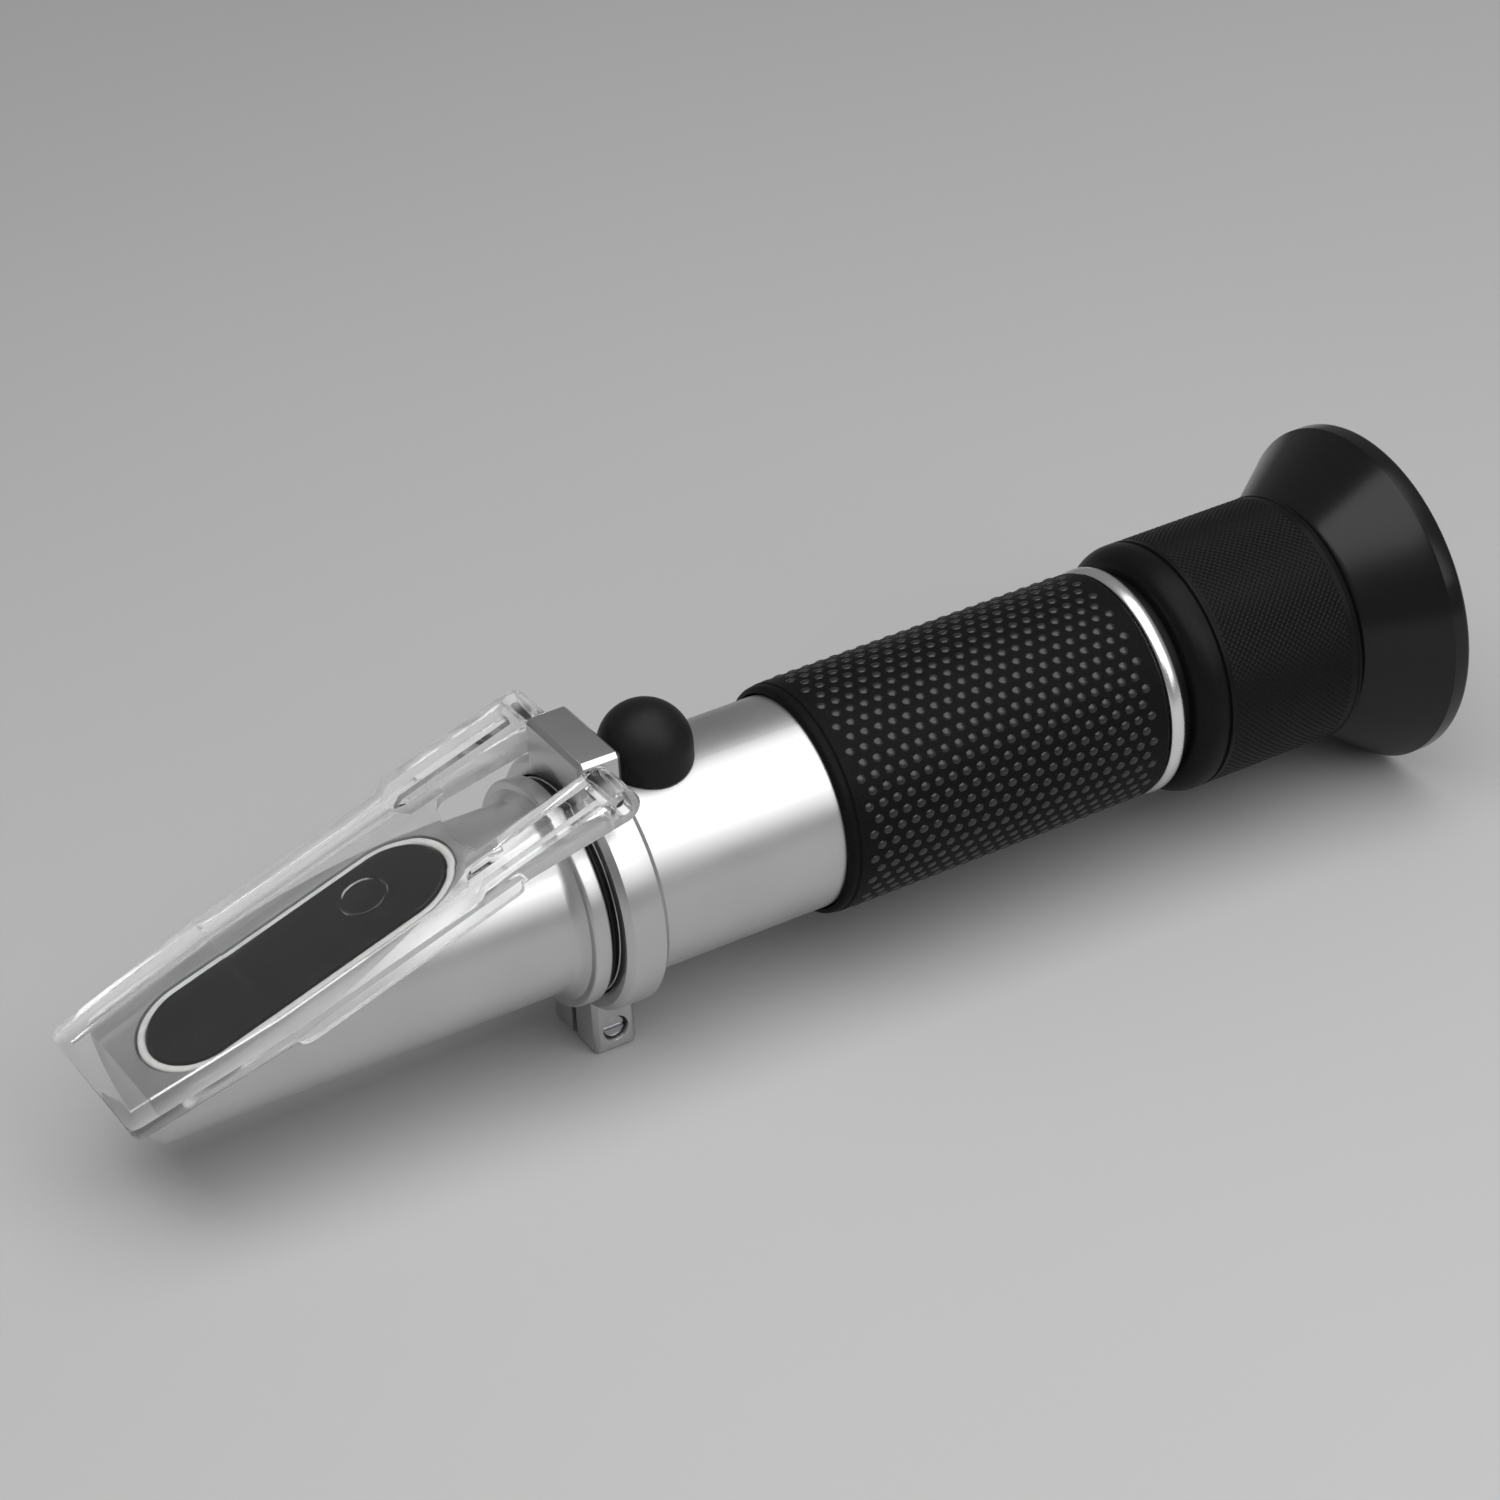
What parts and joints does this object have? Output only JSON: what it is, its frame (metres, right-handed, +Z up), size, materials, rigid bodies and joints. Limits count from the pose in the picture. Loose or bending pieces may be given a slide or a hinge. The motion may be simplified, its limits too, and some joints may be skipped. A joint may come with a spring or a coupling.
{
  "type": "brix refractometer",
  "caption": "Handheld brix refractometer: a tube with an inclined prism under a hinged clear plate, a zero screw under a cap, a grip sleeve and a focusing eyepiece with an eyecup",
  "frame": {"origin": "Under the middle of the instrument's overall length, in its middle plane, on the surface that it lies on", "axes": "+X runs along the optical axis from the prism at the front to the eyecup at the rear, +Y points to the side of the clamp nut, away from the clamp screw's head, and +Z points up, to the side of the hinge and the calibration cap"},
  "size_m": [0.1864, 0.0458, 0.0458],
  "materials": {
    "satin_aluminium": "satin",
    "polished_metal": "polished",
    "steel": "turned",
    "brass": "turned",
    "black_anodised": "matt black anodised",
    "black_plastic": "fine knurl",
    "black_rubber": "matt",
    "soft_rubber": "smooth, a little glossy",
    "clear_plastic": "clear",
    "dark_glass": "polished",
    "clear_glass": "polished",
    "pale_bead": "matt"
  },
  "bodies": {
    "body": {"prism_box": "satin_aluminium", "prism": "dark_glass", "prism_seal": "pale_bead", "front_seal_ring": "black_rubber", "hinge_collar": "satin_aluminium", "hinge_pin": "steel", "clamp_screw": "steel", "clamp_nut": "steel", "calibration_bush": "steel", "barrel": "satin_aluminium", "grip_sleeve": "black_rubber", "trim_ring": "polished_metal", "objective_guide": "black_anodised", "scale_holder": "black_anodised", "scale_plate": "clear_glass", "scale_retainer": "black_anodised", "eyepiece_mount": "black_anodised", "guide_screw": "steel"},
    "plate": {"daylight_plate": "clear_plastic"},
    "cap": {"calibration_cap": "black_rubber"},
    "zero_screw": {"calibration_screw": "brass"},
    "objective_cell": {"objective_frame": "black_anodised", "objective_lens": "clear_glass", "objective_retainer": "black_anodised"},
    "lens_carrier": {"lens_tube": "black_anodised", "field_lens": "clear_glass", "lens_spacer": "black_anodised", "eye_lens": "clear_glass", "lens_retainer": "black_anodised", "focus_retainer": "steel"},
    "focus": {"focus_ring": "black_plastic", "eyecup": "soft_rubber"}
  },
  "joints": [
    {"name": "plate_hinge", "type": "hinge", "parent": "body", "child": "plate", "pos_m": [-0.02755, 0, 0.04095], "axis": [0, 1, 0], "range_deg": [0, 190]},
    {"name": "cap_pull", "type": "slide", "parent": "body", "child": "cap", "axis": [0, 0, 1], "range_m": [0, 0.012]},
    {"name": "zero_turn", "type": "hinge", "parent": "body", "child": "zero_screw", "pos_m": [-0.01685, 0, 0.0401], "axis": [0, 0, 1], "range_deg": [-180, 180]},
    {"name": "objective_shift", "type": "slide", "parent": "body", "child": "objective_cell", "axis": [0, 0, 1], "range_m": [-0.00025, 0.00025]},
    {"name": "focus_slide", "type": "slide", "parent": "body", "child": "lens_carrier", "axis": [1, 0, 0], "range_m": [0, 0.00375]},
    {"name": "focus_turn", "type": "hinge", "parent": "lens_carrier", "child": "focus", "pos_m": [0.07175, 0, 0.0229], "axis": [1, 0, 0], "range_deg": [0, 270]}
  ],
  "couplings": [
    {"joint": "focus_slide", "follows": "focus_turn", "m_per_rad": 0.00079577},
    {"joint": "zero_turn", "follows": "objective_shift", "rad_per_m": 12566}
  ]
}
